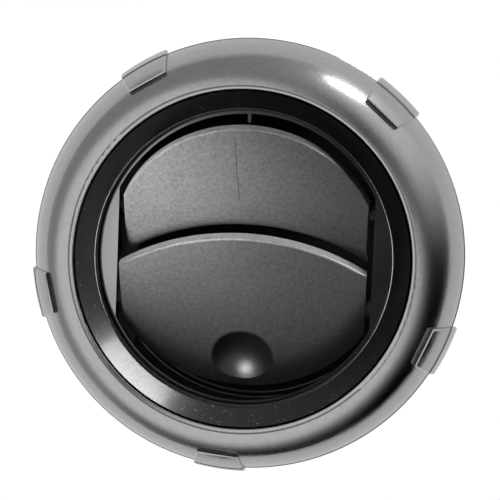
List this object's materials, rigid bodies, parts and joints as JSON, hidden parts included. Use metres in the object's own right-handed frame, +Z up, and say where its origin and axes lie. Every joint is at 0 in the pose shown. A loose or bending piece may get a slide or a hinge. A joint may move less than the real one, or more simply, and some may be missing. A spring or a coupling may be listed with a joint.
{
  "type": "dashboard air vent",
  "caption": "Round dashboard air vent: bright domed bezel, dark funnel, and a turning rotor whose linked half-moon flaps tilt together to open or close the air path.",
  "frame": {"origin": "on the vent's axis, in the plane of the bezel's back rim, which is the panel's face", "axes": "+Y into the panel along the vent's axis, +Z up with the flaps level, +X to the right seen from the front"},
  "size_m": [0.0969, 0.0553, 0.0971],
  "materials": {
    "satin_chrome": "satin bright plating on plastic",
    "gloss_black": "polished black plastic",
    "rotor_black": "satin black plastic",
    "flap_grey": "fine grained dark grey plastic",
    "link_plastic": "dark slippery plastic",
    "felt": "grey felt",
    "foam": "open cell foam",
    "bush_rubber": "soft rubber"
  },
  "bodies": {
    "housing_body": {"housing": "gloss_black", "bezel_ring": "satin_chrome", "retaining_ring": "rotor_black", "drag_ring": "felt", "panel_gasket": "foam", "duct_seal": "foam"},
    "rotor_body": {"rotor": "rotor_black", "upper_bush": "bush_rubber", "lower_bush": "bush_rubber"},
    "lower_flap_body": {"lower_flap": "flap_grey", "lower_crank": "link_plastic", "lower_pivot_pin": "link_plastic"},
    "upper_flap_body": {"upper_flap": "flap_grey", "upper_crank": "link_plastic", "upper_pivot_pin": "link_plastic"},
    "link_body": {"flap_link": "link_plastic"}
  },
  "joints": [
    {"name": "rotor_spin", "type": "hinge", "parent": "housing_body", "child": "rotor_body", "pos_m": [0, 0, 0], "axis": [0, 1, 0], "continuous": true},
    {"name": "lower_flap_tilt", "type": "hinge", "parent": "rotor_body", "child": "lower_flap_body", "pos_m": [0, -0.0034, -0.01049], "axis": [1, 0, 0], "range_deg": [-17.2, 52]},
    {"name": "upper_flap_tilt", "type": "hinge", "parent": "rotor_body", "child": "upper_flap_body", "pos_m": [0, -0.0034, 0.01049], "axis": [1, 0, 0], "range_deg": [-17.2, 52]},
    {"name": "link_swing", "type": "hinge", "parent": "lower_flap_body", "child": "link_body", "pos_m": [-0.0327, 0.00089, -0.01183], "axis": [1, 0, 0], "range_deg": [-52, 17.2]}
  ],
  "couplings": [
    {"joint": "upper_flap_tilt", "follows": "lower_flap_tilt", "ratio": 1},
    {"joint": "link_swing", "follows": "lower_flap_tilt", "ratio": -1}
  ]
}
